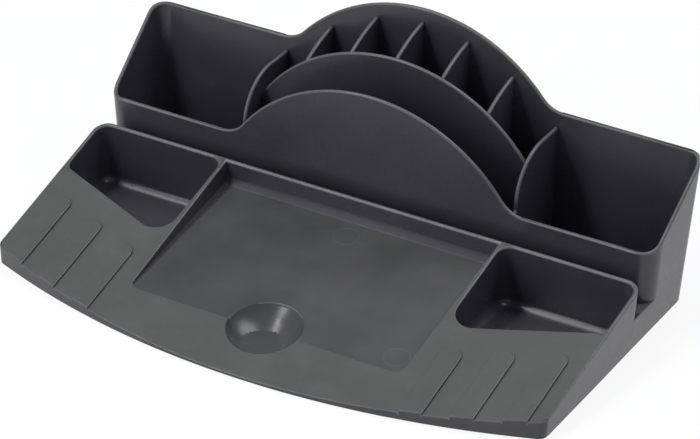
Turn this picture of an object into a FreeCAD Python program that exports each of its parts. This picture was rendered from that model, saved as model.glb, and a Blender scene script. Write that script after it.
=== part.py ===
import FreeCAD, Part
import math
import os

# Tool storage caddy: an upright rear rack over a sloping front tray, moulded in one colour.
# Millimetres, +X to the right, +Y to the rear, +Z up.
# The origin lies on the table under the middle of the overall box.

# Wall thicknesses and draft
WALL = 2.0
FLOOR = 2.0
SHARED_WALL = 2.0            # between the memo recess and a pocket
FLARE_DEGREES = 3.65         # outward lean of the end walls and the back wall

# Plan of the whole caddy, from front to rear
BASE_WIDTH = 300.0
DECK_LENGTH = 120.0          # bow front to the tray's rear wall
CHANNEL_CLEAR = 6.3
LETTER_SLOT_CLEAR = 21.2
TOOL_CELL_CLEAR = 19.4       # at the floor, the back wall leans away above it
BOW_RISE = 28.6
TRAY_CORNER_RADIUS = 4.5
TRAY_REAR_RADIUS = 8.0
RACK_CORNER_RADIUS = 10.0

# Heights of the rack
CHANNEL_HEIGHT = 17.0
FRONT_RIM_HEIGHT = 45.0
BACK_RIM_HEIGHT = 76.7
FRONT_CREST = 87.0
MIDDLE_CREST = 97.0
BACK_CREST = 111.4
ARCH_RADIUS = 91.0
ARCH_FILLET = 15.0
RIM_BLEND_RADIUS = 14.0

# Rack partitions and dividers
RACK_MIDDLE_WIDTH = 150.0    # clear width between the two bin partitions
PARTITION_HEIGHT = 69.5
PARTITION_ROUND = 25.0
PARTITION_SETBACK = 5.5      # from the front wall to the foot of a partition's rounded edge
PARTITION_FOOT_HEIGHT = 43.0
TOOL_CELLS = 6
DIVIDER_BACK_DROP = 6.5      # below the back wall's rim
DIVIDER_FRONT_DROP = 0.8     # below the middle wall's rim
DIVIDER_BULGE = 1.3

# Sloping deck
TRAY_RIM_HEIGHT = 33.6
FRONT_LIP = 1.6
DECK_THICKNESS = 2.0

# Memo recess and finger dish
RECESS_WIDTH_REAR = 152.8
RECESS_WIDTH_FRONT = 148.8
APRON_LENGTH = 29.8          # bow front to the recess
RECESS_DEPTH_REAR = 11.3
RECESS_DEPTH_FRONT = 0.8
RECESS_CORNER_RADIUS = 4.0
RECESS_REAR_FILLET = 4.0
DISH_RADIUS = 19.0
DISH_FLOOR_RADIUS = 10.5
DISH_MARGIN = 3.0

# Front pockets
POCKET_INNER_LENGTH = 56.9
POCKET_OUTER_LENGTH = 33.0
POCKET_REAR_RADIUS = 6.5
POCKET_OUTER_RADIUS = 6.0
POCKET_INNER_RADIUS = 10.0
POCKET_FLOOR_FILLET = 4.5

# Pen grooves at each front corner
GROOVE_COUNT = 3
GROOVE_PITCH = 23.3
GROOVE_FIRST_X = 90.6
GROOVE_WIDTH = 11.0
GROOVE_DEPTH = 0.8
GROOVE_END_RADIUS = 4.5
GROOVE_SETBACK = 15.5        # from the pocket's diagonal edge to a groove's end

# Stations and levels that follow from the sizes above
FLARE = math.tan(math.radians(FLARE_DEGREES))
RACK_DEPTH = WALL + LETTER_SLOT_CLEAR + WALL + TOOL_CELL_CLEAR + WALL
TOTAL_DEPTH = DECK_LENGTH + WALL + CHANNEL_CLEAR + RACK_DEPTH + FLARE * BACK_CREST
FRONT_Y = -TOTAL_DEPTH / 2.0
TRAY_WALL_Y = FRONT_Y + DECK_LENGTH
TRAY_REAR_Y = TRAY_WALL_Y + WALL
RACK_FRONT_Y = TRAY_REAR_Y + CHANNEL_CLEAR
SLOT_FRONT_Y = RACK_FRONT_Y + WALL
MIDDLE_FRONT_Y = SLOT_FRONT_Y + LETTER_SLOT_CLEAR
MIDDLE_REAR_Y = MIDDLE_FRONT_Y + WALL
BACK_INNER_Y = MIDDLE_REAR_Y + TOOL_CELL_CLEAR
BACK_OUTER_Y = BACK_INNER_Y + WALL
FRONT_SPLIT_Y = RACK_FRONT_Y + RACK_CORNER_RADIUS
REAR_SPLIT_Y = BACK_OUTER_Y - RACK_CORNER_RADIUS
DECK_SLOPE = (TRAY_RIM_HEIGHT - FRONT_LIP) / DECK_LENGTH
RECESS_FRONT_Y = FRONT_Y + APRON_LENGTH
RECESS_JOINT_Y = TRAY_WALL_Y - 2.0 * RECESS_REAR_FILLET
POCKET_INNER_X = RECESS_WIDTH_REAR / 2.0 + SHARED_WALL
SIDE_JOINT_X = RECESS_WIDTH_REAR / 2.0 + SHARED_WALL / 2.0
BOW_RADIUS = ((BASE_WIDTH / 2.0) ** 2 + BOW_RISE ** 2) / (2.0 * BOW_RISE)
PARTITION_X = RACK_MIDDLE_WIDTH / 2.0
CELL_PITCH = (RACK_MIDDLE_WIDTH + WALL) / TOOL_CELLS
OVERSHOOT = 5.0              # height of the forms that are cut down, above the finished rims
RACK_TOP = BACK_CREST + OVERSHOOT
TRAY_TOP = TRAY_RIM_HEIGHT + OVERSHOOT
FAR = BASE_WIDTH             # reach of the cutting shapes, past every face of the caddy
SAME_PLACE = 0.01            # two points closer than this count as one


def flare_at(z):
    """Outward lean of an outer wall at height z."""
    return FLARE * z


def half_width(z):
    """Half of the outer width at height z."""
    return BASE_WIDTH / 2.0 + flare_at(z)


def deck_height(y):
    """Height of the sloping deck at depth y."""
    return FRONT_LIP + DECK_SLOPE * (y - FRONT_Y)


def recess_floor_height(y):
    """Height of the memo recess's floor, which slopes less than the deck."""
    front = deck_height(RECESS_FRONT_Y) - RECESS_DEPTH_FRONT
    rear = deck_height(TRAY_WALL_Y) - RECESS_DEPTH_REAR
    return front + (rear - front) * (y - RECESS_FRONT_Y) / (TRAY_WALL_Y - RECESS_FRONT_Y)


def arch_height(x, crest):
    """Height of a rack wall's arch of the shared radius at width x."""
    return crest - ARCH_RADIUS + math.sqrt(ARCH_RADIUS ** 2 - x ** 2)


def pocket_edge_y(x):
    """Depth of a pocket's diagonal front edge at width x."""
    outer_x = half_width(0.0) - WALL
    share = (x - POCKET_INNER_X) / (outer_x - POCKET_INNER_X)
    length = POCKET_INNER_LENGTH + (POCKET_OUTER_LENGTH - POCKET_INNER_LENGTH) * share
    return TRAY_WALL_Y - length


def on_plan(z):
    """Placement of a two-number point on the level plane at height z."""
    return lambda a, b: FreeCAD.Vector(a, b, z)


def on_side(x):
    """Placement of a two-number point, depth and height, on the upright plane at width x."""
    return lambda a, b: FreeCAD.Vector(x, a, b)


def on_front(y):
    """Placement of a two-number point, width and height, on the upright plane at depth y."""
    return lambda a, b: FreeCAD.Vector(a, y, b)


def rounded_wire(corners, place):
    """Closed outline through corners (a, b, radius), with each corner rounded by its radius."""
    starts, ends, middles = [], [], []
    count = len(corners)
    for index in range(count):
        a, b, radius = corners[index]
        corner = FreeCAD.Vector(a, b, 0)
        before = FreeCAD.Vector(corners[index - 1][0], corners[index - 1][1], 0) - corner
        after_corner = corners[(index + 1) % count]
        after = FreeCAD.Vector(after_corner[0], after_corner[1], 0) - corner
        before.normalize()
        after.normalize()
        half_angle = before.getAngle(after) / 2.0
        trim = radius / math.tan(half_angle)
        starts.append(corner + before * trim)
        ends.append(corner + after * trim)
        bisector = before + after
        if radius > 0:
            bisector.normalize()
        middles.append(corner + bisector * (radius / math.sin(half_angle) - radius))
    edges = []
    for index in range(count):
        start, end, middle = (place(p.x, p.y) for p in (starts[index], ends[index], middles[index]))
        if corners[index][2] > 0:
            edges.append(Part.Arc(start, middle, end).toShape())
        following = starts[(index + 1) % count]
        edges.append(Part.LineSegment(end, place(following.x, following.y)).toShape())
    return Part.Wire(edges)


def prism(wire, reach):
    """Solid swept straight from a flat closed outline."""
    return Part.Face(wire).extrude(reach)


def block(x_range, y_range, z_range):
    """Rectangular block between the given pairs of limits."""
    corner = FreeCAD.Vector(x_range[0], y_range[0], z_range[0])
    sizes = [limits[1] - limits[0] for limits in (x_range, y_range, z_range)]
    return Part.makeBox(sizes[0], sizes[1], sizes[2], corner)


def ruled_loft(plan, z_low, z_high):
    """Solid between the sections that plan(z) gives at two heights."""
    return Part.makeLoft([plan(z_low), plan(z_high)], True, True)


def below_line(height_at, drop):
    """Everything under a plane that slopes along Y, lowered by drop."""
    outline = [
        (-FAR, -FAR, 0.0),
        (FAR, -FAR, 0.0),
        (FAR, height_at(FAR) - drop, 0.0),
        (-FAR, height_at(-FAR) - drop, 0.0),
    ]
    return prism(rounded_wire(outline, on_side(-FAR)), FreeCAD.Vector(2.0 * FAR, 0, 0))


def mirrored(shape):
    """The same shape on the other side of the caddy's middle plane."""
    return shape.mirror(FreeCAD.Vector(0, 0, 0), FreeCAD.Vector(1, 0, 0))


# Rear rack


def flared_limit(inset, rear_y):
    """Everything between the leaning ends and in front of a leaning back face, set in by inset."""
    low, high = half_width(0.0) - inset, half_width(RACK_TOP) - inset
    ends = [(-low, 0.0, 0.0), (low, 0.0, 0.0), (high, RACK_TOP, 0.0), (-high, RACK_TOP, 0.0)]
    between_ends = prism(rounded_wire(ends, on_front(-FAR)), FreeCAD.Vector(0, 2.0 * FAR, 0))
    rear_top_y = rear_y + flare_at(RACK_TOP)
    side = [(-FAR, 0.0, 0.0), (rear_y, 0.0, 0.0), (rear_top_y, RACK_TOP, 0.0), (-FAR, RACK_TOP, 0.0)]
    before_back = prism(rounded_wire(side, on_side(-FAR)), FreeCAD.Vector(2.0 * FAR, 0, 0))
    return between_ends.common(before_back)


def is_level(edge, z):
    """Whether an edge lies at height z."""
    return all(abs(vertex.Point.z - z) < SAME_PLACE for vertex in edge.Vertexes)


def rise_of(shape):
    """Height between a shape's lowest and highest corners."""
    heights = [vertex.Point.z for vertex in shape.Vertexes]
    return max(heights) - min(heights)


def nearest_upright_edge(shape, x, y):
    """The edge nearest to a point in plan, of those that rise from a shape's bottom to its top."""
    rising = [edge for edge in shape.Edges if rise_of(shape) - rise_of(edge) < SAME_PLACE]
    return min(rising, key=lambda edge: math.hypot(edge.CenterOfMass.x - x, edge.CenterOfMass.y - y))


def rack_block(inset, front_radius, z_range):
    """Form of the rack's outside or inside: four leaning or upright faces with rounded corners."""
    front_y = RACK_FRONT_Y + inset
    form = flared_limit(inset, BACK_OUTER_Y - inset)
    form = form.common(block((-FAR, FAR), (front_y, FAR), z_range))
    middle_z = (z_range[0] + z_range[1]) / 2.0
    half = half_width(middle_z) - inset
    rear_y = BACK_OUTER_Y + flare_at(middle_z) - inset
    for x in (-half, half):
        form = form.makeFillet(RACK_CORNER_RADIUS - inset, [nearest_upright_edge(form, x, rear_y)])
        if front_radius > 0:
            form = form.makeFillet(front_radius, [nearest_upright_edge(form, x, front_y)])
    return form


def rack_cavity():
    """Room inside the rack's outer walls, without its partitions."""
    return rack_block(WALL, RACK_CORNER_RADIUS - WALL, (0.0, RACK_TOP))


def arch_prism(crest, shoulder, y_range):
    """Arch that rises from a level shoulder through a hollow fillet on each side."""
    centre_z = crest - ARCH_RADIUS
    fillet_z = shoulder + ARCH_FILLET
    reach = ARCH_RADIUS + ARCH_FILLET
    fillet_x = math.sqrt(reach ** 2 - (fillet_z - centre_z) ** 2)
    touch_x = fillet_x * ARCH_RADIUS / reach
    touch_z = centre_z + (fillet_z - centre_z) * ARCH_RADIUS / reach
    touch_angle = math.atan2(touch_z - fillet_z, touch_x - fillet_x) % (2.0 * math.pi)
    middle_angle = (touch_angle + 1.5 * math.pi) / 2.0
    middle_x = fillet_x + ARCH_FILLET * math.cos(middle_angle)
    middle_z = fillet_z + ARCH_FILLET * math.sin(middle_angle)
    place = on_front(y_range[0])
    edges = [
        Part.LineSegment(place(-fillet_x, 0.0), place(-fillet_x, shoulder)).toShape(),
        Part.Arc(place(-fillet_x, shoulder), place(-middle_x, middle_z), place(-touch_x, touch_z)).toShape(),
        Part.Arc(place(-touch_x, touch_z), place(0.0, crest), place(touch_x, touch_z)).toShape(),
        Part.Arc(place(touch_x, touch_z), place(middle_x, middle_z), place(fillet_x, shoulder)).toShape(),
        Part.LineSegment(place(fillet_x, shoulder), place(fillet_x, 0.0)).toShape(),
        Part.LineSegment(place(fillet_x, 0.0), place(-fillet_x, 0.0)).toShape(),
    ]
    return prism(Part.Wire(edges), FreeCAD.Vector(0, y_range[1] - y_range[0], 0))


def rim_limit():
    """Everything under the rack's rim: low in front, sloping up the ends, high at the back, two arches."""
    slope_start = RACK_FRONT_Y + RACK_CORNER_RADIUS / 2.0
    slope_end = BACK_OUTER_Y + flare_at(BACK_RIM_HEIGHT) - RACK_CORNER_RADIUS / 2.0
    outline = [
        (-FAR, 0.0, 0.0),
        (FAR, 0.0, 0.0),
        (FAR, BACK_RIM_HEIGHT, 0.0),
        (slope_end, BACK_RIM_HEIGHT, RIM_BLEND_RADIUS),
        (slope_start, FRONT_RIM_HEIGHT, RIM_BLEND_RADIUS),
        (-FAR, FRONT_RIM_HEIGHT, 0.0),
    ]
    slope = prism(rounded_wire(outline, on_side(-FAR)), FreeCAD.Vector(2.0 * FAR, 0, 0))
    front_arch = arch_prism(FRONT_CREST, FRONT_RIM_HEIGHT, (RACK_FRONT_Y - WALL, SLOT_FRONT_Y + WALL))
    back_arch = arch_prism(BACK_CREST, BACK_RIM_HEIGHT, (BACK_INNER_Y - WALL, FAR))
    return slope.fuse([front_arch, back_arch])


def rack_walls():
    """Outer ring of the rack, cut to its rim and divided at its four corners."""
    upper = rack_block(0.0, RACK_CORNER_RADIUS, (CHANNEL_HEIGHT, RACK_TOP))
    lower = rack_block(0.0, 0.0, (0.0, CHANNEL_HEIGHT))
    ring = upper.fuse(lower).cut(rack_cavity()).common(rim_limit()).removeSplitter()
    heights = (0.0, RACK_TOP)
    middle_depth = (FRONT_SPLIT_Y, REAR_SPLIT_Y)
    return {
        "rack_front_wall": ring.common(block((-FAR, FAR), (-FAR, FRONT_SPLIT_Y), heights)),
        "left_end_wall": ring.common(block((-FAR, 0.0), middle_depth, heights)),
        "right_end_wall": ring.common(block((0.0, FAR), middle_depth, heights)),
        "back_wall": ring.common(block((-FAR, FAR), (REAR_SPLIT_Y, FAR), heights)),
    }


def middle_wall():
    """Arched wall between the letter slot and the tool cells."""
    place = on_front(MIDDLE_FRONT_Y)
    shoulder = arch_height(PARTITION_X, MIDDLE_CREST)
    left, right = -PARTITION_X, PARTITION_X
    edges = [
        Part.LineSegment(place(left, 0.0), place(left, shoulder)).toShape(),
        Part.Arc(place(left, shoulder), place(0.0, MIDDLE_CREST), place(right, shoulder)).toShape(),
        Part.LineSegment(place(right, shoulder), place(right, 0.0)).toShape(),
        Part.LineSegment(place(right, 0.0), place(left, 0.0)).toShape(),
    ]
    return prism(Part.Wire(edges), FreeCAD.Vector(0, WALL, 0))


def right_partition():
    """Wall between the middle of the rack and its right bin, rounded down towards the front."""
    foot_y = SLOT_FRONT_Y + PARTITION_SETBACK
    outline = [
        (SLOT_FRONT_Y, 0.0, 0.0),
        (FAR, 0.0, 0.0),
        (FAR, PARTITION_HEIGHT, 0.0),
        (foot_y, PARTITION_HEIGHT, PARTITION_ROUND),
        (foot_y, PARTITION_FOOT_HEIGHT, 0.0),
        (SLOT_FRONT_Y, PARTITION_FOOT_HEIGHT, 0.0),
    ]
    plate = prism(rounded_wire(outline, on_side(PARTITION_X)), FreeCAD.Vector(WALL, 0, 0))
    return plate.common(rack_cavity())


def tool_divider(x):
    """Thin wall between two tool cells, its top edge bulging from the middle wall up to the back wall."""
    place = on_side(x - WALL / 2.0)
    front_z = arch_height(x, MIDDLE_CREST) - DIVIDER_FRONT_DROP
    back_z = arch_height(x, BACK_CREST) - DIVIDER_BACK_DROP
    back_y = BACK_INNER_Y + flare_at(back_z)
    middle_y = (MIDDLE_REAR_Y + back_y) / 2.0
    middle_z = (front_z + back_z) / 2.0 + DIVIDER_BULGE
    rear_y = BACK_OUTER_Y + flare_at(back_z)
    edges = [
        Part.LineSegment(place(MIDDLE_REAR_Y, FLOOR), place(MIDDLE_REAR_Y, front_z)).toShape(),
        Part.Arc(place(MIDDLE_REAR_Y, front_z), place(middle_y, middle_z), place(back_y, back_z)).toShape(),
        Part.LineSegment(place(back_y, back_z), place(rear_y, back_z)).toShape(),
        Part.LineSegment(place(rear_y, back_z), place(rear_y, FLOOR)).toShape(),
        Part.LineSegment(place(rear_y, FLOOR), place(MIDDLE_REAR_Y, FLOOR)).toShape(),
    ]
    return prism(Part.Wire(edges), FreeCAD.Vector(WALL, 0, 0)).common(rack_cavity())


def rack_floors():
    """Floors of the two bins, the letter slot and the tool cells, each between its own walls."""
    cavity = rack_cavity()
    level = (0.0, FLOOR)
    bin_inner = PARTITION_X + WALL
    middle = (-PARTITION_X, PARTITION_X)
    areas = {
        "left_bin_floor": block((-FAR, -bin_inner), (-FAR, FAR), level),
        "right_bin_floor": block((bin_inner, FAR), (-FAR, FAR), level),
        "letter_slot_floor": block(middle, (-FAR, MIDDLE_FRONT_Y), level),
        "tool_cell_floor": block(middle, (MIDDLE_REAR_Y, FAR), level),
    }
    return {name: area.common(cavity) for name, area in areas.items()}


def channel():
    """Open gutter between the tray and the rack, with its two ends running down to the table."""
    depth = (TRAY_REAR_Y, RACK_FRONT_Y)
    outside = flared_limit(0.0, BACK_OUTER_Y).common(block((-FAR, FAR), depth, (0.0, CHANNEL_HEIGHT)))
    inside = flared_limit(WALL, BACK_OUTER_Y)
    return outside.cut(inside.common(block((-FAR, FAR), depth, (0.0, CHANNEL_HEIGHT - FLOOR))))


# Front tray


def tray_plan(inset):
    """Section of the tray at height z: straight sides, rounded front corners and one bowed front."""
    bow_centre_y = FRONT_Y + BOW_RADIUS
    bow = BOW_RADIUS - inset
    corner = TRAY_CORNER_RADIUS - inset

    def section(z):
        half = half_width(z) - inset
        reach = bow - corner
        corner_x = half - corner
        corner_y = bow_centre_y - math.sqrt(reach ** 2 - corner_x ** 2)
        touch_x = corner_x * bow / reach
        touch_y = bow_centre_y + (corner_y - bow_centre_y) * bow / reach
        angle = math.atan2(touch_y - corner_y, touch_x - corner_x) / 2.0
        middle_x = corner_x + corner * math.cos(angle)
        middle_y = corner_y + corner * math.sin(angle)
        place = on_plan(z)
        front = bow_centre_y - bow
        edges = [
            Part.LineSegment(place(-half, TRAY_REAR_Y), place(half, TRAY_REAR_Y)).toShape(),
            Part.LineSegment(place(half, TRAY_REAR_Y), place(half, corner_y)).toShape(),
            Part.Arc(place(half, corner_y), place(middle_x, middle_y), place(touch_x, touch_y)).toShape(),
            Part.Arc(place(touch_x, touch_y), place(0.0, front), place(-touch_x, touch_y)).toShape(),
            Part.Arc(place(-touch_x, touch_y), place(-middle_x, middle_y), place(-half, corner_y)).toShape(),
            Part.LineSegment(place(-half, corner_y), place(-half, TRAY_REAR_Y)).toShape(),
        ]
        return Part.Wire(edges)

    return section


def tray_block():
    """Whole outer form of the tray, up to the sloping deck."""
    return ruled_loft(tray_plan(0.0), 0.0, TRAY_TOP).common(below_line(deck_height, 0.0))


def tray_shell():
    """Deck and skirt of the tray, hollow underneath."""
    hollow = ruled_loft(tray_plan(WALL), 0.0, TRAY_TOP).common(below_line(deck_height, DECK_THICKNESS))
    return tray_block().cut(hollow)


def pocket_cavity():
    """Room inside the right pocket, with rounded corners and a floor that blends into its walls."""
    corners = [
        (POCKET_INNER_X, TRAY_WALL_Y, 0.0),
        (POCKET_INNER_X, pocket_edge_y(POCKET_INNER_X), 0.0),
        (FAR, pocket_edge_y(FAR), 0.0),
        (FAR, TRAY_WALL_Y, 0.0),
    ]
    column = prism(rounded_wire(corners, on_plan(FLOOR)), FreeCAD.Vector(0, 0, TRAY_TOP))
    room = column.common(flared_limit(WALL, FAR))
    outer_x = half_width(FLOOR + TRAY_TOP / 2.0) - WALL
    roundings = [
        (POCKET_INNER_RADIUS, POCKET_INNER_X, pocket_edge_y(POCKET_INNER_X)),
        (POCKET_OUTER_RADIUS, outer_x, pocket_edge_y(outer_x)),
        (POCKET_REAR_RADIUS, POCKET_INNER_X, TRAY_WALL_Y),
        (POCKET_REAR_RADIUS, outer_x, TRAY_WALL_Y),
    ]
    for radius, x, y in roundings:
        room = room.makeFillet(radius, [nearest_upright_edge(room, x, y)])
    floor_edges = [edge for edge in room.Edges if is_level(edge, FLOOR)]
    return room.makeFillet(POCKET_FLOOR_FILLET, floor_edges)


def pocket_area():
    """Ground of the right pocket with its walls, bounded in front by a wall along its diagonal edge."""
    run = half_width(0.0) - WALL - POCKET_INNER_X
    rise = POCKET_INNER_LENGTH - POCKET_OUTER_LENGTH
    wall_along_y = WALL * math.hypot(run, rise) / run
    corners = [
        (SIDE_JOINT_X, TRAY_REAR_Y, 0.0),
        (SIDE_JOINT_X, pocket_edge_y(SIDE_JOINT_X) - wall_along_y, 0.0),
        (FAR, pocket_edge_y(FAR) - wall_along_y, 0.0),
        (FAR, TRAY_REAR_Y, 0.0),
    ]
    return prism(rounded_wire(corners, on_plan(0.0)), FreeCAD.Vector(0, 0, TRAY_TOP))


def rear_corner_waste():
    """Sharp rear corner of the tray above the channel, which is rounded off along the leaning side."""
    half = half_width(CHANNEL_HEIGHT)
    inner_x = half - TRAY_REAR_RADIUS
    inner_y = TRAY_REAR_Y - TRAY_REAR_RADIUS
    diagonal = TRAY_REAR_RADIUS * math.sqrt(0.5)
    place = on_plan(CHANNEL_HEIGHT)
    edges = [
        Part.LineSegment(place(inner_x, TRAY_REAR_Y), place(inner_x, FAR)).toShape(),
        Part.LineSegment(place(inner_x, FAR), place(FAR, FAR)).toShape(),
        Part.LineSegment(place(FAR, FAR), place(FAR, inner_y)).toShape(),
        Part.LineSegment(place(FAR, inner_y), place(half, inner_y)).toShape(),
        Part.Arc(
            place(half, inner_y),
            place(inner_x + diagonal, inner_y + diagonal),
            place(inner_x, TRAY_REAR_Y),
        ).toShape(),
    ]
    return prism(Part.Wire(edges), FreeCAD.Vector(flare_at(TRAY_TOP), 0, TRAY_TOP))


def right_pocket():
    """Deep rounded pocket beside the memo recess."""
    return tray_block().common(pocket_area()).cut(pocket_cavity()).cut(rear_corner_waste())


def groove_form(x):
    """Shallow flat groove with a round end, which lies along the deck and runs out through the bow."""
    half = GROOVE_WIDTH / 2.0
    end_y = pocket_edge_y(x) - GROOVE_SETBACK
    corners = [
        (x - half, -FAR, 0.0),
        (x + half, -FAR, 0.0),
        (x + half, end_y, GROOVE_END_RADIUS),
        (x - half, end_y, GROOVE_END_RADIUS),
    ]
    column = prism(rounded_wire(corners, on_plan(0.0)), FreeCAD.Vector(0, 0, TRAY_TOP))
    return column.cut(below_line(deck_height, GROOVE_DEPTH))


def right_side_skirt():
    """Side of the tray under the deck, from the front corner to the pocket."""
    ring = tray_block().cut(ruled_loft(tray_plan(WALL), 0.0, TRAY_TOP))
    side = ring.common(below_line(deck_height, DECK_THICKNESS))
    corner_end_y = FRONT_Y + BOW_RISE + TRAY_CORNER_RADIUS
    return side.common(block((0.0, FAR), (corner_end_y, TRAY_WALL_Y), (0.0, TRAY_TOP))).cut(pocket_area())


def right_pen_deck():
    """Front corner of the deck with its pen grooves, and the bowed skirt under it."""
    side = block((SIDE_JOINT_X, FAR), (-FAR, FAR), (0.0, TRAY_TOP))
    panel = tray_shell().common(side).cut(pocket_area()).cut(right_side_skirt())
    grooves = [groove_form(GROOVE_FIRST_X + GROOVE_PITCH * index) for index in range(GROOVE_COUNT)]
    return panel.cut(grooves)


def recess_cavity():
    """Room above the memo recess's sloping floor."""
    rear_half = RECESS_WIDTH_REAR / 2.0
    front_half = RECESS_WIDTH_FRONT / 2.0
    corners = [
        (rear_half, TRAY_WALL_Y, 0.0),
        (front_half, RECESS_FRONT_Y, RECESS_CORNER_RADIUS),
        (-front_half, RECESS_FRONT_Y, RECESS_CORNER_RADIUS),
        (-rear_half, TRAY_WALL_Y, 0.0),
    ]
    room = prism(rounded_wire(corners, on_plan(0.0)), FreeCAD.Vector(0, 0, TRAY_TOP))
    room = room.cut(below_line(recess_floor_height, 0.0))
    floor_z = recess_floor_height(TRAY_WALL_Y)
    rear_edges = [edge for edge in room.Edges if lies_along_x(edge, TRAY_WALL_Y, floor_z)]
    return room.makeFillet(RECESS_REAR_FILLET, rear_edges)


def lies_along_x(edge, y, z):
    """Whether an edge runs straight across the caddy at depth y and height z."""
    ends = [vertex.Point for vertex in edge.Vertexes]
    return is_level(edge, z) and all(abs(end.y - y) < SAME_PLACE for end in ends)


def middle_strip(y_range):
    """Ground of the tray's middle, between the two side joints."""
    return block((-SIDE_JOINT_X, SIDE_JOINT_X), y_range, (0.0, TRAY_TOP))


def dish_bowl():
    """Radius of the dish's round wall and the height of its centre, from its rim and its level floor."""
    depth = deck_height(RECESS_FRONT_Y) - FLOOR
    rise = (DISH_RADIUS ** 2 - DISH_FLOOR_RADIUS ** 2 + depth ** 2) / (2.0 * depth)
    return math.hypot(DISH_FLOOR_RADIUS, rise), FLOOR + rise


def dish_cavity():
    """Round finger dish with a level floor."""
    radius, centre_z = dish_bowl()
    bowl = Part.makeSphere(radius, FreeCAD.Vector(0, RECESS_FRONT_Y, centre_z))
    return bowl.common(block((-FAR, FAR), (-FAR, FAR), (FLOOR, centre_z)))


def tray_middle():
    """Memo recess, finger dish and front apron, which meet along straight joints."""
    joint_y = RECESS_FRONT_Y - WALL
    block_form = tray_block()
    recess_room = recess_cavity()
    basin = block_form.common(middle_strip((joint_y, TRAY_WALL_Y)))
    basin = basin.cut(below_line(recess_floor_height, FLOOR))
    rear_wall = block_form.common(middle_strip((TRAY_WALL_Y, TRAY_REAR_Y)))
    rear_wall = rear_wall.fuse(basin.common(middle_strip((RECESS_JOINT_Y, TRAY_WALL_Y)))).cut(recess_room)
    basin = basin.common(middle_strip((joint_y, RECESS_JOINT_Y))).cut(recess_room)
    apron = tray_shell().common(middle_strip((-FAR, joint_y)))
    reach = DISH_RADIUS + DISH_MARGIN
    dish_limits = (RECESS_FRONT_Y - reach, RECESS_FRONT_Y + reach)
    dish_area = block((-reach, reach), dish_limits, (0.0, TRAY_TOP))
    cup_base = FreeCAD.Vector(0, RECESS_FRONT_Y, 0)
    cup = Part.makeCylinder(DISH_RADIUS + WALL, TRAY_TOP, cup_base).common(block_form).cut(recess_room)
    dish = basin.fuse([apron, cup]).common(dish_area).cut(dish_cavity())
    return {
        "memo_recess": basin.cut(dish_area),
        "front_apron": apron.cut(dish_area),
        "finger_dish": dish.removeSplitter(),
        "tray_rear_wall": rear_wall.removeSplitter(),
    }


def build_nodes():
    """Every named piece of the caddy."""
    nodes = rack_walls()
    nodes["middle_wall"] = middle_wall()
    nodes.update(rack_floors())
    nodes["rear_channel"] = channel()
    for index in range(1, TOOL_CELLS):
        x = -PARTITION_X - WALL / 2.0 + CELL_PITCH * index
        nodes[f"tool_divider_{index}"] = tool_divider(x)
    nodes.update(tray_middle())
    right_hand = {
        "bin_partition": right_partition(),
        "pocket": right_pocket(),
        "pen_deck": right_pen_deck(),
        "side_skirt": right_side_skirt(),
    }
    for name, shape in right_hand.items():
        nodes["right_" + name] = shape
        nodes["left_" + name] = mirrored(shape)
    return nodes


def export(nodes):
    """One file for each piece, which has to be one sound solid."""
    os.makedirs("parts", exist_ok=True)
    for name, shape in sorted(nodes.items()):
        if len(shape.Solids) != 1 or not shape.isValid():
            raise ValueError(f"{name} has {len(shape.Solids)} solids, sound: {shape.isValid()}")
        shape.Solids[0].exportStep(f"parts/{name}.step")


export(build_nodes())
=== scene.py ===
import math

import bmesh
import bpy
from bpy.props import FloatProperty, FloatVectorProperty, IntProperty, PointerProperty
from mathutils import Matrix, Vector


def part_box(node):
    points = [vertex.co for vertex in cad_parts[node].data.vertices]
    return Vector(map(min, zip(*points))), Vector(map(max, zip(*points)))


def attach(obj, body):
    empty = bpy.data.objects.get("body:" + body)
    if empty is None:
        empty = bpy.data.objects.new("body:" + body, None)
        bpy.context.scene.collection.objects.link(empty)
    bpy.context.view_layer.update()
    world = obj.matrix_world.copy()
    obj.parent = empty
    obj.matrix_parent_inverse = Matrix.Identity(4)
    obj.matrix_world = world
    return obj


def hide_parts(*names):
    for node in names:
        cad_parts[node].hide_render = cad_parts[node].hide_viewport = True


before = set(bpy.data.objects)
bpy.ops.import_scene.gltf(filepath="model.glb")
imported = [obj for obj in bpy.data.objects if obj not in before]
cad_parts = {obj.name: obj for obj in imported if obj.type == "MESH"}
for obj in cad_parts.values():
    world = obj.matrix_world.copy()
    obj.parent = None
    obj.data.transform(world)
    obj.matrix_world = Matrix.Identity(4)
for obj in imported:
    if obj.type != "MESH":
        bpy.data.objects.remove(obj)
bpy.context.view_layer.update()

bl_info = {
    "name": "Tool Storage Caddy",
    "version": (1, 0, 0),
    "blender": (4, 5, 0),
    "location": "View3D > Sidebar > Caddy",
    "description": "Dresses a moulded tool storage caddy and sets it on a studio floor",
    "category": "Object",
}

MILLIMETRE = 0.001
ACROSS, UPWARD = 0, 2
BODY = "root"

# Walls that stand inside the rack and keep their own objects
DIVIDERS = sorted(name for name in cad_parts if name.startswith("tool_divider"))
PARTITIONS = sorted(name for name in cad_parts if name.endswith("bin_partition"))
MIDDLE_WALL = "middle_wall"
INNER_WALLS = [*DIVIDERS, *PARTITIONS, MIDDLE_WALL]

# Nodes that are joined into one shell, and those among them that are treated apart
SHELL = sorted(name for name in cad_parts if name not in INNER_WALLS)
RACK_FLOORS = ["left_bin_floor", "right_bin_floor", "letter_slot_floor", "tool_cell_floor"]
SIDE_SKIRTS = ["left_side_skirt", "right_side_skirt"]
PEN_DECKS = ["left_pen_deck", "right_pen_deck"]

# Corners nearer than the first become one, and edges of faces narrower than the second stay unrounded
SAME_PLACE = 0.0005 * MILLIMETRE
SLIVER = 0.014 * MILLIMETRE

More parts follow.
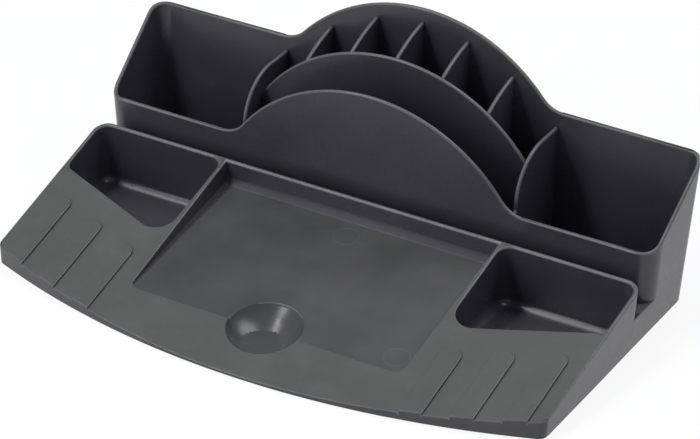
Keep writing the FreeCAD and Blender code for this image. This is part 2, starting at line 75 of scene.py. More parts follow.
# Nodes that are pressed a little into their neighbours before they are joined, and the axes that grow
PRESS = 0.05 * MILLIMETRE
PRESSED_AXES = {
    **dict.fromkeys(RACK_FLOORS, (1.0, 1.0, 0.0)),
    **dict.fromkeys(SIDE_SKIRTS, (0.0, 1.0, 1.0)),
}

# Outward lean of the side skirts, which a pressed skirt follows
SIDE_LEAN = math.tan(math.radians(3.65))

# Places on the moulding that tell its finishes apart
TRAY_REAR = Vector(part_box("tray_rear_wall")[1])
APRON_REAR = Vector(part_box("front_apron")[1])
DECK_REACH = 1.2 * MILLIMETRE
CHANNEL_REAR = Vector(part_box("rear_channel")[1])
CHANNEL_REACH = 0.5 * MILLIMETRE
DISH_LOW, DISH_HIGH = (Vector(corner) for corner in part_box("finger_dish"))
DISH_MIDDLE = ((DISH_LOW + DISH_HIGH) / 2.0).to_2d()
DISH_REACH = 20.0 * MILLIMETRE
RECESS_SIDE = 77.0 * MILLIMETRE
RECESS_LOWEST = 8.0 * MILLIMETRE
RACK_RIM_HEIGHT = 43.0 * MILLIMETRE

# How far upward a rim and a top face look at least, as the upright part of their normals
RIM_SLANT = 0.2
TOP_FACE_SLANT = 0.93

# Finger pads that stand on the pen grooves: how deep a groove's floor lies, and how far it is lifted
GROOVE_DEPTHS = (0.5 * MILLIMETRE, 1.2 * MILLIMETRE)
PAD_LIFT = 1.9 * MILLIMETRE

# Field of the finger pads: its two sides, and its rear edge, which runs along the pocket's diagonal edge
PAD_FIELD_SIDES = (84.0 * MILLIMETRE, 144.0 * MILLIMETRE)
PAD_FIELD_REAR = -34.0 * MILLIMETRE
PAD_FIELD_SLANT = 0.343

# Roughness of each finish, where handling has rubbed it and where it hasn't
WALL_ROUGHNESS = (0.20, 0.28)
DECK_ROUGHNESS = (0.46, 0.58)
RECESS_ROUGHNESS = (0.36, 0.48)
RIM_ROUGHNESS = (0.28, 0.40)
CORNER_ROUGHNESS = (0.56, 0.66)
DISH_ROUGHNESS = (0.22, 0.30)

# Depths of the moulded grain, and of the slow waves in the recess's floor
FINE_GRAIN = 0.006 * MILLIMETRE
SOFT_GRAIN = 0.010 * MILLIMETRE
DECK_GRAIN = 0.028 * MILLIMETRE
RECESS_WAVES = 0.45 * MILLIMETRE

# Darkest and palest shares of a finish's colour as it drifts over the surface. On the recess's floor the
# wider drift paints mottled reflections of its slow waves.
EVEN_TONES = (0.86, 1.12)
RECESS_REFLECTION_TONES = (0.70, 1.34)

# Shares of the colour where the plastic is rubbed or scratched, and how strongly that shows
RUBBED_TONE = 1.5
RUBBED_STRENGTH = 0.30
SCRATCHED_TONE = 1.8
DECK_SCRATCHES = 0.10
RECESS_SCRATCHES = 0.12

# Noises behind the grain, the drift of the colour, the rubbed patches and the scratches
GRAIN_NOISE = {"detail": 2.0, "roughness": 0.6}
DRIFT_NOISE = {"detail": 3.0, "roughness": 0.55, "scale": 22.0}
RUBBED_NOISE = {"detail": 6.0, "roughness": 0.7, "scale": 75.0}
SCRATCH_NOISE = {"detail": 2.0, "roughness": 0.5}

# Levels of a noise between which its mask goes from nothing to full
DRIFT_LEVELS = (0.3, 0.7)
RUBBED_LEVELS = (0.52, 0.75)
SCRATCH_LEVELS = (0.66, 0.78)

# Scratches in two directions: their turn, and the scale of the noise along and across them
SCRATCH_LAYERS = [(0.35, 25.0, 900.0), (-0.9, 30.0, 1100.0)]

# Ring marks of the mould's pins on the recess's floor
PIN_MARKS = [
    (66.7 * MILLIMETRE, -50.6 * MILLIMETRE),
    (0.0, 16.3 * MILLIMETRE),
]
PIN_MARK_LINE = 0.5 * MILLIMETRE
PIN_MARK_HEIGHT = 0.06 * MILLIMETRE
PIN_MARK_TONE = 1.8
PIN_MARK_STRENGTH = 0.6

# Sockets of a Mix node that mixes colours
MIX_MASK = 0
MIX_COLOURS = slice(6, 8)
MIX_RESULT = 2
OPAQUE = 1.0

# Floor and air of the stage
FLOOR_HALF_SIDE = 4.0
FLOOR_DROP = 0.1 * MILLIMETRE
FLOOR_ROUGHNESS = 0.9
FLOOR_GLOW = 0.85
AIR_COLOUR = (0.9, 0.95, 1.0)
AIR_STRENGTH = 0.30

# Soft boxes of the stage, in metres and watts. The strip box aims straight across, so that its long side
# runs from front to back
CADDY_MIDDLE = (0.0, 0.0, 0.03)
SOFT_BOXES = [
    {
        "name": "overhead_soft_box",
        "place": (0.5, 0.45, 1.25),
        "aim": CADDY_MIDDLE,
        "sides": (0.9, 0.9),
        "power": 11.0,
    },
    {
        "name": "left_strip_box",
        "place": (-1.12, -0.8, 2.3),
        "aim": (0.0, -0.8, 0.03),
        "sides": (2.2, 0.35),
        "power": 32.0,
    },
    {
        "name": "front_soft_box",
        "place": (-0.65, -1.15, 0.6),
        "aim": CADDY_MIDDLE,
        "sides": (0.4, 0.9),
        "power": 7.5,
    },
]

# Width in pixels of the picture that the focal length is given for, and how far the camera sees
IMAGE_WIDTH = 700.0
VIEW_LIMIT = 20.0


class CaddyMouldingSettings(bpy.types.PropertyGroup):
    """Sizes of the rounding that a mould leaves on every outer edge"""

    rim_round: FloatProperty(
        name="Rim Round",
        description="Width of the rounding along the rims and outer edges",
        default=0.9 * MILLIMETRE,
        min=0.0,
        subtype="DISTANCE",
        unit="LENGTH",
    )
    rim_steps: IntProperty(
        name="Rim Steps",
        description="Number of facets across each rounded edge",
        default=4,
        min=1,
        max=6,
    )
    low_share: FloatProperty(
        name="Low Share",
        description="Share of the rounding that the lowest edges of the deck get",
        default=0.35,
        subtype="FACTOR",
        min=0.0,
        max=1.0,
    )
    pad_share: FloatProperty(
        name="Pad Share",
        description="Share of the rounding that the edges of the finger pads get",
        default=0.5,
        subtype="FACTOR",
        min=0.0,
        max=1.0,
    )
    full_height: FloatProperty(
        name="Full Height",
        description="Height above the table from which the edges get the whole rounding",
        default=34.0 * MILLIMETRE,
        subtype="DISTANCE",
        unit="LENGTH",
    )
    edge_angle: FloatProperty(
        name="Edge Angle",
        description="Edges sharper than this are rounded",
        default=math.radians(38.0),
        subtype="ANGLE",
        unit="ROTATION",
    )


class CaddyFinishSettings(bpy.types.PropertyGroup):
    """Colours and grain of the moulded plastic"""

    wall_colour: FloatVectorProperty(
        name="Wall Colour",
        description="Colour of the walls, the pocket and rack floors and the recess's rounded corner",
        default=(0.037, 0.036, 0.043),
        subtype="COLOR",
        min=0.0,
        max=1.0,
    )
    # On the channel's floor this paler colour paints light over the slot's shade.
    deck_colour: FloatVectorProperty(
        name="Deck Colour",
        description="Colour of the grained sloping deck and of the channel's floor",
        default=(0.062, 0.062, 0.062),
        subtype="COLOR",
        min=0.0,
        max=1.0,
    )
    recess_colour: FloatVectorProperty(
        name="Recess Colour",
        description="Colour of the memo recess's floor",
        default=(0.048, 0.048, 0.049),
        subtype="COLOR",
        min=0.0,
        max=1.0,
    )
    dish_colour: FloatVectorProperty(
        name="Dish Colour",
        description="Colour of the finger dish",
        default=(0.057, 0.057, 0.059),
        subtype="COLOR",
        min=0.0,
        max=1.0,
    )
    # The rims' paler colour paints their highlight.
    rim_highlight_colour: FloatVectorProperty(
        name="Rim Highlight Colour",
        description="Colour of the rounded rims, painted paler as their highlight",
        default=(0.085, 0.085, 0.088),
        subtype="COLOR",
        min=0.0,
        max=1.0,
    )
    grain_size: FloatProperty(
        name="Grain Size",
        description="Spacing of the fine moulded grain",
        default=0.55 * MILLIMETRE,
        subtype="DISTANCE",
        unit="LENGTH",
    )
    pin_mark_radius: FloatProperty(
        name="Pin Mark Radius",
        description="Radius of the round marks that the mould's pins leave on the recess floor",
        default=6.2 * MILLIMETRE,
        subtype="DISTANCE",
        unit="LENGTH",
    )


class CaddyStageSettings(bpy.types.PropertyGroup):
    """Camera and floor"""

    azimuth: FloatProperty(
        name="Azimuth",
        description="Camera's turn to the caddy's right",
        default=math.radians(30.34),
        subtype="ANGLE",
        unit="ROTATION",
    )
    elevation: FloatProperty(
        name="Elevation",
        description="Camera's angle above the table",
        default=math.radians(30.77),
        subtype="ANGLE",
        unit="ROTATION",
    )
    roll: FloatProperty(
        name="Roll",
        description="Camera's tilt about its line of sight",
        default=math.radians(0.356),
        subtype="ANGLE",
        unit="ROTATION",
    )
    distance: FloatProperty(
        name="Distance",
        description="Camera's distance from the point it aims at",
        default=1.7394,
        subtype="DISTANCE",
        unit="LENGTH",
    )
    aim: FloatVectorProperty(
        name="Aim",
        description="Point in the middle of the picture",
        default=(-0.00617, 0.0300, 0.02081),
        subtype="TRANSLATION",
        unit="LENGTH",
    )
    focal_pixels: FloatProperty(
        name="Focal Pixels",
        description="Focal length in pixels of a picture of the photograph's width",
        default=3576.4,
    )
    floor_colour: FloatVectorProperty(
        name="Floor Colour",
        description="Colour of the pale studio floor",
        default=(0.86, 0.86, 0.86),
        subtype="COLOR",
        min=0.0,
        max=1.0,
    )


# Places on the moulding


def deck_height(y):
    """Height of the sloping deck at depth y, from the rear wall's and the apron's top edges."""
    slope = (TRAY_REAR.z - APRON_REAR.z) / (TRAY_REAR.y - APRON_REAR.y)
    return APRON_REAR.z + slope * (y - APRON_REAR.y)


def in_dish(place):
    """Whether a point lies in the finger dish or on its edge."""
    return (place.to_2d() - DISH_MIDDLE).length < DISH_REACH


def among_pads(place):
    """Whether a point lies in the field of the finger pads."""
    inner_side, outer_side = PAD_FIELD_SIDES
    side = abs(place.x)
    field_rear = PAD_FIELD_REAR + PAD_FIELD_SLANT * (side - inner_side)
    return inner_side < side < outer_side and place.y < field_rear


# Shared surface effects


def new_group(name, inputs, outputs):
    """A shader node group with named number sockets, and its two end nodes."""
    group = bpy.data.node_groups.new(name, "ShaderNodeTree")
    for direction, socket_names in (("INPUT", inputs), ("OUTPUT", outputs)):
        for socket_name in socket_names:
            group.interface.new_socket(name=socket_name, in_out=direction, socket_type="NodeSocketFloat")
    return group, group.nodes.new("NodeGroupInput"), group.nodes.new("NodeGroupOutput")


def own_coordinates(tree):
    """The coordinates of the piece itself."""
    return tree.nodes.new("ShaderNodeTexCoord").outputs["Object"]


def add_noise(tree, coordinates, detail, roughness, scale=1.0):
    """A noise texture on given coordinates."""
    noise = tree.nodes.new("ShaderNodeTexNoise")
    noise.inputs["Detail"].default_value = detail
    noise.inputs["Roughness"].default_value = roughness
    noise.inputs["Scale"].default_value = scale
    tree.links.new(coordinates, noise.inputs["Vector"])
    return noise


def add_map(tree, value, low, high):
    """A remap of a value from between its low and high to between 0 and 1."""
    remap = tree.nodes.new("ShaderNodeMapRange")
    remap.inputs["From Min"].default_value = low
    remap.inputs["From Max"].default_value = high
    tree.links.new(value, remap.inputs["Value"])
    return remap.outputs["Result"]


def add_math(tree, operation, *values):
    """The result of a sum on values that are linked sockets or plain numbers."""
    node = tree.nodes.new("ShaderNodeMath")
    node.operation = operation
    for socket, value in zip(node.inputs, values):
        if isinstance(value, (int, float)):
            socket.default_value = value
        else:
            tree.links.new(value, socket)
    return node.outputs["Value"]


def add_vector_math(tree, operation, vector, other):
    """A vector sum of a linked vector and a plain one."""
    node = tree.nodes.new("ShaderNodeVectorMath")
    node.operation = operation
    first, second = node.inputs[:2]
    tree.links.new(vector, first)
    second.default_value = other
    return node


def moulded_grain_group():
    """Height of a fine pebbled grain."""
    group, start, end = new_group("Moulded Grain", ["Scale"], ["Height"])
    place = own_coordinates(group)
    noise = add_noise(group, place, **GRAIN_NOISE)
    pebbles = group.nodes.new("ShaderNodeTexVoronoi")
    group.links.new(place, pebbles.inputs["Vector"])
    for texture in (noise, pebbles):
        group.links.new(start.outputs["Scale"], texture.inputs["Scale"])
    height = add_math(group, "ADD", noise.outputs["Fac"], pebbles.outputs["Distance"])
    group.links.new(height, end.inputs["Height"])


def handling_group():
    """Slow drift of the colour, and rubbed patches from handling."""
    group, _start, end = new_group("Handling", [], ["Drift", "Rubbed"])
    place = own_coordinates(group)
    drift = add_noise(group, place, **DRIFT_NOISE)
    rubbed = add_noise(group, place, **RUBBED_NOISE)
    group.links.new(add_map(group, drift.outputs["Fac"], *DRIFT_LEVELS), end.inputs["Drift"])
    group.links.new(add_map(group, rubbed.outputs["Fac"], *RUBBED_LEVELS), end.inputs["Rubbed"])


def scratch_group():
    """Fine straight scratches in two directions, as paper and tools leave on a floor."""
    group, _start, end = new_group("Fine Scratches", [], ["Scratches"])
    place = own_coordinates(group)
    masks = []
    for turn, along, across in SCRATCH_LAYERS:
        mapping = group.nodes.new("ShaderNodeMapping")
        mapping.inputs["Rotation"].default_value = (0.0, 0.0, turn)
        mapping.inputs["Scale"].default_value = (along, across, along)
        group.links.new(place, mapping.inputs["Vector"])
        noise = add_noise(group, mapping.outputs["Vector"], **SCRATCH_NOISE)
        masks.append(add_map(group, noise.outputs["Fac"], *SCRATCH_LEVELS))
    group.links.new(add_math(group, "MAXIMUM", *masks), end.inputs["Scratches"])


def pin_mark_group():
    """Thin rings on the recess floor where the mould's pins pushed the moulding out."""
    group, start, end = new_group("Pin Marks", ["Radius"], ["Ring"])
    flat = add_vector_math(group, "MULTIPLY", own_coordinates(group), (1.0, 1.0, 0.0))
    rings = []
    for x, y in PIN_MARKS:
        reach = add_vector_math(group, "DISTANCE", flat.outputs["Vector"], (x, y, 0.0))
        offset = add_math(group, "SUBTRACT", reach.outputs["Value"], start.outputs["Radius"])
        rings.append(add_math(group, "ABSOLUTE", offset))
    nearest = rings[0]
    for ring in rings[1:]:
        nearest = add_math(group, "MINIMUM", nearest, ring)
    group.links.new(add_map(group, nearest, PIN_MARK_LINE, 0.0), end.inputs["Ring"])


GROUP_MAKERS = {
    "Moulded Grain": moulded_grain_group,
    "Handling": handling_group,
    "Fine Scratches": scratch_group,
    "Pin Marks": pin_mark_group,
}


def place_group(tree, name):
    """A group node of a shared effect, which is made when it is first asked for."""
    if name not in bpy.data.node_groups:
        GROUP_MAKERS[name]()
    node = tree.nodes.new("ShaderNodeGroup")
    node.node_tree = bpy.data.node_groups[name]
    return node


# Finishes of the plastic


def scaled(colour, factor):
    """A colour made brighter or darker."""
    return tuple(min(1.0, channel * factor) for channel in colour)


def add_mix(tree, mask, low, high):
    """A colour that goes from low to high with a mask, each a plain colour or a linked socket."""
    mix = tree.nodes.new("ShaderNodeMix")
    mix.data_type = "RGBA"
    tree.links.new(mask, mix.inputs[MIX_MASK])
    for socket, colour in zip(mix.inputs[MIX_COLOURS], (low, high)):
        if isinstance(colour, tuple):
            socket.default_value = (*colour, OPAQUE)
        else:
            tree.links.new(colour, socket)
    return mix.outputs[MIX_RESULT]


def add_bump(tree, height, distance, normal=None):
    """A normal bent by a height, over another normal where one is given."""
    bump = tree.nodes.new("ShaderNodeBump")
    bump.inputs["Distance"].default_value = distance
    tree.links.new(height, bump.inputs["Height"])
    if normal is not None:
        tree.links.new(normal, bump.inputs["Normal"])
    return bump.outputs["Normal"]


def plastic(
    finish,
    name,
    colour,
    roughness,
    grain_depth,
    tones=EVEN_TONES,
    wave_depth=0.0,
    scratches=0.0,
    pin_marks=False,
):
    """Black moulded plastic: drifting colour, rubbed patches, a fine grain over a slight waviness."""
    if name in bpy.data.materials:
        return bpy.data.materials[name]
    material = bpy.data.materials.new(name)
    material.use_nodes = True
    tree = material.node_tree
    shader = tree.nodes["Principled BSDF"]
    grain = place_group(tree, "Moulded Grain")
    grain.inputs["Scale"].default_value = 1.0 / finish.grain_size
    handling = place_group(tree, "Handling")
    darkest, palest = (scaled(colour, tone) for tone in tones)
    surface = add_mix(tree, handling.outputs["Drift"], darkest, palest)
    wear = add_math(tree, "MULTIPLY", handling.outputs["Rubbed"], RUBBED_STRENGTH)
    surface = add_mix(tree, wear, surface, scaled(colour, RUBBED_TONE))
    normal = None
    if wave_depth:
        normal = add_bump(tree, handling.outputs["Drift"], wave_depth)
    if scratches:
        marks = place_group(tree, "Fine Scratches")
        faint = add_math(tree, "MULTIPLY", marks.outputs["Scratches"], scratches)
        surface = add_mix(tree, faint, surface, scaled(colour, SCRATCHED_TONE))
    if pin_marks:
        pins = place_group(tree, "Pin Marks")
        pins.inputs["Radius"].default_value = finish.pin_mark_radius
        faint = add_math(tree, "MULTIPLY", pins.outputs["Ring"], PIN_MARK_STRENGTH)
        surface = add_mix(tree, faint, surface, scaled(colour, PIN_MARK_TONE))
        normal = add_bump(tree, pins.outputs["Ring"], PIN_MARK_HEIGHT, normal)
    rough = tree.nodes.new("ShaderNodeMapRange")
    rough.inputs["To Max"].default_value, rough.inputs["To Min"].default_value = roughness
    tree.links.new(handling.outputs["Rubbed"], rough.inputs["Value"])
    normal = add_bump(tree, grain.outputs["Height"], grain_depth, normal)
    tree.links.new(surface, shader.inputs["Base Color"])
    tree.links.new(rough.outputs["Result"], shader.inputs["Roughness"])
    tree.links.new(normal, shader.inputs["Normal"])
    return material


def wall_plastic(finish):
    """Smooth satin finish of the walls and of the pocket and rack floors."""
    return plastic(finish, "Satin Wall Plastic", finish.wall_colour, WALL_ROUGHNESS, FINE_GRAIN)


def deck_plastic(finish):
    """Matt grained finish of the sloping deck and of the channel's floor, where its paler colour paints
    light over the slot's shade.
    """
    return plastic(
        finish,
        "Grained Deck Plastic",
        finish.deck_colour,
        DECK_ROUGHNESS,
        DECK_GRAIN,
        scratches=DECK_SCRATCHES,
    )


def recess_plastic(finish):
    """Smoother, slightly wavy finish of the memo recess's floor, whose wide colour drift paints the
    mottled reflections of its waves.
    """
    return plastic(
        finish,
        "Wavy Recess Plastic",
        finish.recess_colour,
        RECESS_ROUGHNESS,
        SOFT_GRAIN,
        # The wide drift of tone here paints mottled reflections on the waves.
        tones=RECESS_REFLECTION_TONES,
        wave_depth=RECESS_WAVES,
        scratches=RECESS_SCRATCHES,
        pin_marks=True,
    )


def highlight_rim_plastic(finish):
    """Smooth rounded rims in a paler colour, which paints the highlight along them."""
    return plastic(finish, "Rubbed Rim Plastic", finish.rim_highlight_colour, RIM_ROUGHNESS, FINE_GRAIN)


def corner_plastic(finish):
    """Dull finish of the recess's rounded inner corner."""
    return plastic(finish, "Dull Corner Plastic", finish.wall_colour, CORNER_ROUGHNESS, SOFT_GRAIN)


def dish_plastic(finish):
    """Smooth finish of the finger dish."""
    return plastic(finish, "Smooth Dish Plastic", finish.dish_colour, DISH_ROUGHNESS, FINE_GRAIN)


FINISHES = (wall_plastic, deck_plastic, recess_plastic, highlight_rim_plastic, corner_plastic, dish_plastic)
WALL_INDEX, DECK_INDEX, RECESS_INDEX, RIM_HIGHLIGHT_INDEX, CORNER_INDEX, DISH_INDEX = range(len(FINISHES))


def rack_finish(centre, normal):
    """Which finish a face of the rack or of the channel takes."""
    # Up-facing faces high on the rack take the paler rim colour, a painted highlight along its rims.
    if normal.z > RIM_SLANT and centre.z > RACK_RIM_HEIGHT:
        return RIM_HIGHLIGHT_INDEX
    # Up-facing faces of the channel's floor take the paler deck colour, which paints light into the shaded
    # slot.
    in_channel = normal.z > TOP_FACE_SLANT and abs(centre.z - CHANNEL_REAR.z) < CHANNEL_REACH
    return DECK_INDEX if in_channel else WALL_INDEX


def tray_finish(centre, normal):
    """Which finish a face of the tray takes."""
    is_top_face = normal.z > TOP_FACE_SLANT
    if is_top_face and deck_height(centre.y) - centre.z < DECK_REACH:
        return DECK_INDEX
    if normal.z < RIM_SLANT:
        return WALL_INDEX
    if in_dish(centre):
        return DISH_INDEX
    if abs(centre.x) < RECESS_SIDE and centre.z > RECESS_LOWEST:
        return RECESS_INDEX if is_top_face else CORNER_INDEX
    return WALL_INDEX


def finish_of(centre, normal):
    """Which finish a face takes, by where it lies and which way it faces."""
    if centre.y > TRAY_REAR.y:
        return rack_finish(centre, normal)
    return tray_finish(centre, normal)


# Moulded pieces


def pressed_in(node):
    """The scaling about a node's foot that presses it into its neighbours."""
    low, high = (Vector(corner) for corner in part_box(node))
    foot = Vector(((low.x + high.x) / 2.0, (low.y + high.y) / 2.0, low.z))
    size = high - low
    axes = PRESSED_AXES[node]
    factors = [1.0 + 2.0 * PRESS * axis / length for axis, length in zip(axes, size)]
    growth = Matrix.Diagonal((*factors, 1.0))
    if node in SIDE_SKIRTS:
        growth[ACROSS][UPWARD] = math.copysign(SIDE_LEAN, foot.x) * (factors[UPWARD] - 1.0)
    return Matrix.Translation(foot) @ growth @ Matrix.Translation(-foot)


def clean_copy(node):
    """A node's mesh as one closed surface, with its doubled corners joined."""
    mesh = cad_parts[node].data.copy()
    surface = bmesh.new()
    surface.from_mesh(mesh)
    bmesh.ops.remove_doubles(surface, verts=surface.verts, dist=SAME_PLACE)
    if node in PRESSED_AXES:
        surface.transform(pressed_in(node))
    surface.to_mesh(mesh)
    surface.free()
    mesh.materials.clear()
    return mesh


def is_groove_floor(face):
    """Whether a face is the floor of a pen groove."""
    shallowest, deepest = GROOVE_DEPTHS
    centre = face.calc_center_median()
    depth = deck_height(centre.y) - centre.z
    is_top_face = face.normal.z > TOP_FACE_SLANT
    return is_top_face and among_pads(centre) and shallowest < depth < deepest


def finger_pads(node):
    """Closed blocks that fill a pen deck's grooves and stand a little above the deck."""
    mesh = clean_copy(node)
    surface = bmesh.new()
    surface.from_mesh(mesh)
    others = [face for face in surface.faces if not is_groove_floor(face)]
    bmesh.ops.delete(surface, geom=others, context="FACES")
    floors = list(surface.faces)
    lifted = bmesh.ops.extrude_face_region(surface, geom=floors, use_keep_orig=True)["geom"]
    for corner in lifted:
        if isinstance(corner, bmesh.types.BMVert):
            corner.co.z += PAD_LIFT
    bmesh.ops.recalc_face_normals(surface, faces=surface.faces)
    surface.to_mesh(mesh)
    surface.free()
    return mesh


def narrowness(face):
    """Height of a face over its longest edge."""
    return 2.0 * face.calc_area() / max(edge.calc_length() for edge in face.edges)


def mark_rims(surface):
    """Give every sharp outer edge its share of the rounding, and keep inner corners and the dish crisp."""
    moulding = bpy.context.scene.caddy_moulding
    share = surface.edges.layers.float.new("bevel_weight_edge")
    for edge in surface.edges:
        is_sharp = edge.calc_face_angle(0.0) > moulding.edge_angle
        if not is_sharp or any(narrowness(face) < SLIVER for face in edge.link_faces):
            continue
        middle = (edge.verts[0].co + edge.verts[1].co) / 2.0
        if not edge.is_convex or in_dish(middle):
            edge.smooth = False
        elif among_pads(middle):
            edge[share] = moulding.pad_share
        else:
            edge[share] = min(1.0, max(moulding.low_share, middle.z / moulding.full_height))


def join_nodes(name, nodes):
    """One closed mesh of the nodes and the pads on them, without their inner joints."""
    meshes = [clean_copy(node) for node in nodes]
    meshes += [finger_pads(node) for node in nodes if node in PEN_DECKS]
    pieces = [bpy.data.objects.new(f"{name}_{mesh.name}", mesh) for mesh in meshes]
    for piece in pieces:
        bpy.context.collection.objects.link(piece)
    base = pieces[0]
    for piece in pieces[1:]:
        join = base.modifiers.new(piece.name, "BOOLEAN")
        join.operation = "UNION"
        join.solver = "MANIFOLD"
        join.object = piece
    depsgraph = bpy.context.evaluated_depsgraph_get()
    mesh = bpy.data.meshes.new_from_object(base.evaluated_get(depsgraph))
    for piece in pieces:
        bpy.data.objects.remove(piece)
    surface = bmesh.new()
    surface.from_mesh(mesh)
    mark_rims(surface)
    surface.to_mesh(mesh)
    surface.free()
    return mesh


def mould_piece(name, nodes):
    """A rounded, dressed piece that stands for its nodes and rides on the caddy."""
    moulding = bpy.context.scene.caddy_moulding
    mesh = join_nodes(name, nodes)
    mesh.name = name
    mesh.materials.clear()
    for make_finish in FINISHES:
        mesh.materials.append(make_finish(bpy.context.scene.caddy_finish))
    for face in mesh.polygons:
        face.material_index = finish_of(face.center, face.normal)
        face.use_smooth = True
    piece = bpy.data.objects.new(name, mesh)
    bpy.context.collection.objects.link(piece)
    rounding = piece.modifiers.new("Rounded Rims", "BEVEL")
    rounding.width = moulding.rim_round
    rounding.segments = moulding.rim_steps
    rounding.limit_method = "WEIGHT"
    # The rounded faces take the paler rim colour, which paints the highlight along every rim.
    rounding.material = RIM_HIGHLIGHT_INDEX
    rounding.use_clamp_overlap = False
    rounding.loop_slide = False
    shading = piece.modifiers.new("Even Shading", "WEIGHTED_NORMAL")
    shading.keep_sharp = True
    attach(piece, BODY)
    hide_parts(*nodes)


class CADDY_OT_build_shell(bpy.types.Operator):
    """Join the outer walls, floors, pockets and decks into one seamless moulding"""

    bl_idname = "caddy.build_shell"
    bl_label = "Build Moulded Shell"

    def execute(self, context):
        mould_piece("moulded_shell", SHELL)
        return {"FINISHED"}


class CADDY_OT_build_middle_wall(bpy.types.Operator):
    """Round the arched wall between the letter slot and the tool cells"""

    bl_idname = "caddy.build_middle_wall"
    bl_label = "Build Middle Wall"

    def execute(self, context):
        mould_piece("arched_middle_wall", [MIDDLE_WALL])
        return {"FINISHED"}


class CADDY_OT_build_partitions(bpy.types.Operator):
    """Round the walls beside the two bins"""

    bl_idname = "caddy.build_partitions"
    bl_label = "Build Bin Partitions"

    def execute(self, context):
        for node in PARTITIONS:
            mould_piece("rounded_" + node, [node])
        return {"FINISHED"}


class CADDY_OT_build_dividers(bpy.types.Operator):
    """Round the thin walls between the tool cells"""

    bl_idname = "caddy.build_dividers"
    bl_label = "Build Tool Dividers"

    def execute(self, context):
        for node in DIVIDERS:
            mould_piece("rounded_" + node, [node])
        return {"FINISHED"}


# Stage


def floor_material(colour):
    """Pale floor that shows nearly white to the camera and keeps a soft shadow."""
    material = bpy.data.materials.new("Pale Studio Floor")
    material.use_nodes = True
    tree = material.node_tree
    shader = tree.nodes["Principled BSDF"]
    shader.inputs["Base Color"].default_value = (*colour, OPAQUE)
    shader.inputs["Roughness"].default_value = FLOOR_ROUGHNESS
    glow = tree.nodes.new("ShaderNodeEmission")
    path = tree.nodes.new("ShaderNodeLightPath")
    seen = add_math(tree, "MAXIMUM", path.outputs["Is Camera Ray"], path.outputs["Is Glossy Ray"])
    seen = add_math(tree, "MAXIMUM", seen, path.outputs["Is Transmission Ray"])
    blend = tree.nodes.new("ShaderNodeMixShader")
    amount, lit_floor, glowing_floor = blend.inputs
    tree.links.new(add_math(tree, "MULTIPLY", seen, FLOOR_GLOW), amount)
    tree.links.new(shader.outputs["BSDF"], lit_floor)
    tree.links.new(glow.outputs["Emission"], glowing_floor)
    tree.links.new(blend.outputs["Shader"], tree.nodes["Material Output"].inputs["Surface"])
    return material


def add_floor(colour):
    """Square floor just under the caddy."""
    half = FLOOR_HALF_SIDE
    corners = [(-half, -half, 0.0), (half, -half, 0.0), (half, half, 0.0), (-half, half, 0.0)]
    mesh = bpy.data.meshes.new("studio_floor")
    mesh.from_pydata(corners, [], [range(len(corners))])
    mesh.materials.append(floor_material(colour))
    floor = bpy.data.objects.new("studio_floor", mesh)
    floor.location.z = -FLOOR_DROP
    bpy.context.collection.objects.link(floor)


def add_soft_box(name, place, aim, sides, power):
    """A rectangular soft box that faces a point."""
    lamp = bpy.data.lights.new(name, "AREA")
    lamp.shape = "RECTANGLE"
    lamp.size, lamp.size_y = sides
    lamp.energy = power
    light = bpy.data.objects.new(name, lamp)
    light.location = place
    light.rotation_euler = (Vector(aim) - Vector(place)).to_track_quat("-Z", "Y").to_euler()
    bpy.context.collection.objects.link(light)


def add_air():
    """Even light from all around."""
    world = bpy.data.worlds.new("studio_air")
    world.use_nodes = True
    background = world.node_tree.nodes["Background"]
    background.inputs["Color"].default_value = (*AIR_COLOUR, OPAQUE)
    background.inputs["Strength"].default_value = AIR_STRENGTH
    bpy.context.scene.world = world


def add_camera(stage):
    """Camera at the photograph's angle."""
    away = Vector((
        math.sin(stage.azimuth) * math.cos(stage.elevation),
        -math.cos(stage.azimuth) * math.cos(stage.elevation),
        math.sin(stage.elevation),
    ))
    level = Vector((math.cos(stage.azimuth), math.sin(stage.azimuth), 0.0))
    upright = away.cross(level)
    right = level * math.cos(stage.roll) + upright * math.sin(stage.roll)
    up = upright * math.cos(stage.roll) - level * math.sin(stage.roll)
    lens = bpy.data.cameras.new("photo_camera")
    lens.sensor_fit = "HORIZONTAL"
    lens.lens = stage.focal_pixels * lens.sensor_width / IMAGE_WIDTH
    lens.clip_end = VIEW_LIMIT
    camera = bpy.data.objects.new("photo_camera", lens)
    turn = Matrix((right, up, away)).transposed().to_4x4()
    camera.matrix_world = Matrix.Translation(Vector(stage.aim) + away * stage.distance) @ turn
    bpy.context.collection.objects.link(camera)
    bpy.context.scene.camera = camera


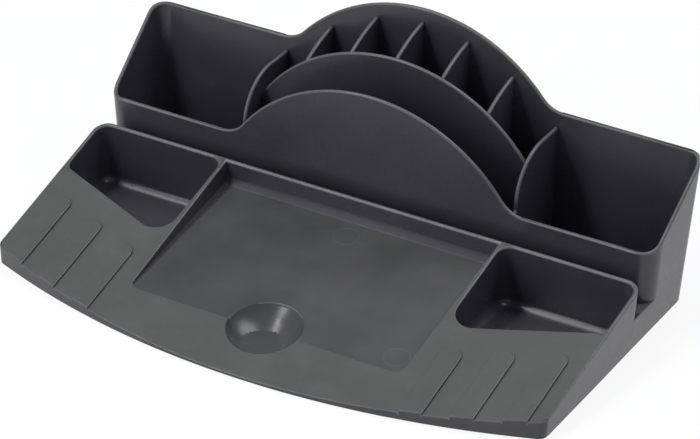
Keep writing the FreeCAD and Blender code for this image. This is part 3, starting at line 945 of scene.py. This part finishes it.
class CADDY_OT_build_stage(bpy.types.Operator):
    """Lay the pale floor, hang the soft boxes and place the camera"""

    bl_idname = "caddy.build_stage"
    bl_label = "Build Studio Stage"

    def execute(self, context):
        stage = context.scene.caddy_stage
        add_floor(stage.floor_colour)
        for soft_box in SOFT_BOXES:
            add_soft_box(**soft_box)
        add_air()
        context.scene.view_settings.view_transform = "Standard"
        add_camera(stage)
        return {"FINISHED"}


SETTING_GROUPS = {
    "caddy_moulding": CaddyMouldingSettings,
    "caddy_finish": CaddyFinishSettings,
    "caddy_stage": CaddyStageSettings,
}
STEPS = (
    CADDY_OT_build_shell,
    CADDY_OT_build_middle_wall,
    CADDY_OT_build_partitions,
    CADDY_OT_build_dividers,
    CADDY_OT_build_stage,
)


class CADDY_PT_sidebar(bpy.types.Panel):
    """Steps and settings of the caddy"""

    bl_idname = "CADDY_PT_sidebar"
    bl_label = "Tool Storage Caddy"
    bl_space_type = "VIEW_3D"
    bl_region_type = "UI"
    bl_category = "Caddy"

    def draw(self, context):
        layout = self.layout
        for step in STEPS:
            layout.operator(step.bl_idname)
        for group_name, group in SETTING_GROUPS.items():
            box = layout.box()
            for setting in group.__annotations__:
                box.prop(getattr(context.scene, group_name), setting)


def register():
    """Make the settings, the steps and the panel known."""
    for name, group in SETTING_GROUPS.items():
        bpy.utils.register_class(group)
        setattr(bpy.types.Scene, name, PointerProperty(type=group))
    for step in STEPS:
        bpy.utils.register_class(step)
    bpy.utils.register_class(CADDY_PT_sidebar)


def unregister():
    """Take away what register() made known."""
    bpy.utils.unregister_class(CADDY_PT_sidebar)
    for step in reversed(STEPS):
        bpy.utils.unregister_class(step)
    for name, group in SETTING_GROUPS.items():
        delattr(bpy.types.Scene, name)
        bpy.utils.unregister_class(group)


def main():
    """Run every step in order."""
    register()
    bpy.ops.caddy.build_shell()
    bpy.ops.caddy.build_middle_wall()
    bpy.ops.caddy.build_partitions()
    bpy.ops.caddy.build_dividers()
    bpy.ops.caddy.build_stage()


if __name__ == "__main__":
    main()
